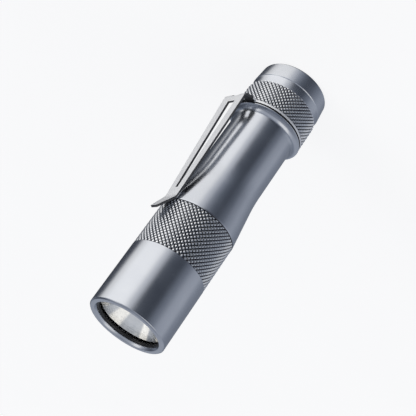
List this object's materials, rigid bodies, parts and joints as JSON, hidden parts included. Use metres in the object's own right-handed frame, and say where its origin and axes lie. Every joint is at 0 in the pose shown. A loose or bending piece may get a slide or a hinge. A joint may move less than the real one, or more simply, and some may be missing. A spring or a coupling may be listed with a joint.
{
  "type": "keychain flashlight",
  "caption": "Slim turned-metal flashlight for one AA-size cell, with a knurled screw-on head and tail cap, a glass-covered reflector, a recessed tail button and a swivelling spring clip.",
  "frame": {"origin": "centre of the tail rim, on the plane that the flashlight stands on", "axes": "+Z along the barrel's axis from the tail to the lens, +X towards the pocket clip"},
  "size_m": [0.0234, 0.0204, 0.0817],
  "materials": {
    "anodised_aluminium": "satin blue-grey anodising over turned and knurled aluminium",
    "black_rubber": "smooth black nitrile rubber",
    "boot_rubber": "matte black silicone rubber",
    "cell_steel": "nickel plated steel",
    "cell_filling": "packed black electrode mix",
    "cell_sleeve": "plain grey shrink sleeve",
    "white_plastic": "moulded white plastic",
    "lens_glass": "coated clear glass",
    "reflector_mirror": "vacuum metallised smooth bowl",
    "led_ceramic": "white ceramic package",
    "phosphor": "yellow phosphor",
    "dome_silicone": "clear cast silicone, as glass",
    "star_board": "white coated metal-core board",
    "brass_pill": "turned brass",
    "red_sleeve": "red wire sleeve",
    "black_sleeve": "black wire sleeve",
    "green_board": "green fibreglass board",
    "black_plastic": "black moulded plastic",
    "capacitor_ceramic": "tan ceramic",
    "gold_plate": "gold plated contact",
    "clip_steel": "bead blasted stainless spring steel"
  },
  "bodies": {
    "tube": {"body_tube": "anodised_aluminium", "head_oring": "black_rubber", "tail_oring": "black_rubber"},
    "cell": {"cell_can": "cell_steel", "cell_core": "cell_filling", "cell_jacket": "cell_sleeve", "cell_positive_cap": "cell_steel", "cell_top_seal": "white_plastic"},
    "head": {"head_shell": "anodised_aluminium", "lens_oring": "black_rubber", "front_lens": "lens_glass", "reflector": "reflector_mirror", "led_gasket": "white_plastic", "led_package": "led_ceramic", "led_phosphor": "phosphor", "led_dome": "dome_silicone", "led_star": "star_board", "pill": "brass_pill", "positive_wire": "red_sleeve", "negative_wire": "black_sleeve", "driver_board": "green_board", "driver_chip": "black_plastic", "driver_inductor": "black_plastic", "driver_capacitors": "capacitor_ceramic", "driver_contact": "gold_plate", "driver_ring": "brass_pill"},
    "tail_spring": {"tail_spring": "gold_plate"},
    "tail_cap": {"tail_cap": "anodised_aluminium", "switch_boot": "boot_rubber", "switch_spacer": "white_plastic", "switch_housing": "black_plastic", "switch_board": "green_board", "switch_ring": "brass_pill"},
    "button": {"switch_plunger": "white_plastic"},
    "clip_ring": {"clip_ring": "clip_steel"},
    "clip_arm": {"clip_arm": "clip_steel"}
  },
  "joints": [
    {"name": "head_advance", "type": "slide", "parent": "tube", "child": "cell", "axis": [0, 0, 1], "range_m": [0, 0.0015]},
    {"name": "head_turn", "type": "hinge", "parent": "cell", "child": "head", "pos_m": [0, 0, 0.056], "axis": [0, 0, 1], "range_deg": [0, 720]},
    {"name": "tail_cap_advance", "type": "slide", "parent": "tube", "child": "tail_spring", "axis": [0, 0, 1], "range_m": [-0.0015, 0]},
    {"name": "tail_cap_turn", "type": "hinge", "parent": "tail_spring", "child": "tail_cap", "pos_m": [0, 0, 0.012], "axis": [0, 0, 1], "range_deg": [-720, 0]},
    {"name": "button_press", "type": "slide", "parent": "tail_cap", "child": "button", "axis": [0, 0, 1], "range_m": [0, 0.0012], "stiffness_N_per_m": 1500, "deforming": ["switch_boot"]},
    {"name": "clip_swivel", "type": "hinge", "parent": "tube", "child": "clip_ring", "pos_m": [0, 0, 0.0152], "axis": [0, 0, 1], "continuous": true},
    {"name": "clip_flex", "type": "hinge", "parent": "clip_ring", "child": "clip_arm", "pos_m": [0.0106, 0, 0.01485], "axis": [0, 1, 0], "range_deg": [0, 6], "stiffness_Nm_per_rad": 1.5}
  ],
  "couplings": [
    {"joint": "head_turn", "follows": "head_advance", "rad_per_m": 8377.6},
    {"joint": "tail_cap_turn", "follows": "tail_cap_advance", "rad_per_m": 8377.6}
  ]
}
